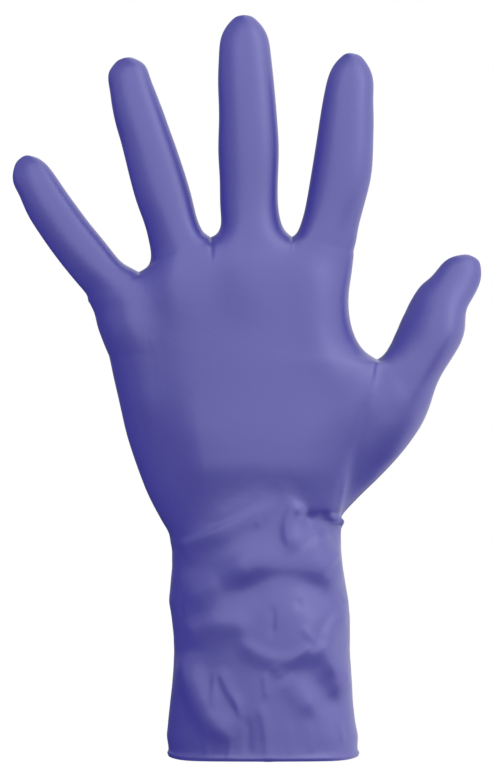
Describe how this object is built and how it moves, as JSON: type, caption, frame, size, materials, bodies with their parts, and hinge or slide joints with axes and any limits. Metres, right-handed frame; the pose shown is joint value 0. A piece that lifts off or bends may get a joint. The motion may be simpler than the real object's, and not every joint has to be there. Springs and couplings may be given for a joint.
{
  "type": "nitrile exam glove",
  "caption": "Thin dipped nitrile exam glove in its worn form: spread fingers, loose cuff gathered at the wrist and a rolled bead at its open end.",
  "frame": {"origin": "centre of the cuff's open end, where the hand goes in", "axes": "+Z from the cuff's open end to the fingertips, +X to the thumb, -Y out of the back of the hand"},
  "size_m": [0.1549, 0.046, 0.2461],
  "materials": {
    "nitrile_film": "satin, smooth dipped film"
  },
  "bodies": {
    "root": {"glove": "nitrile_film"}
  },
  "joints": []
}
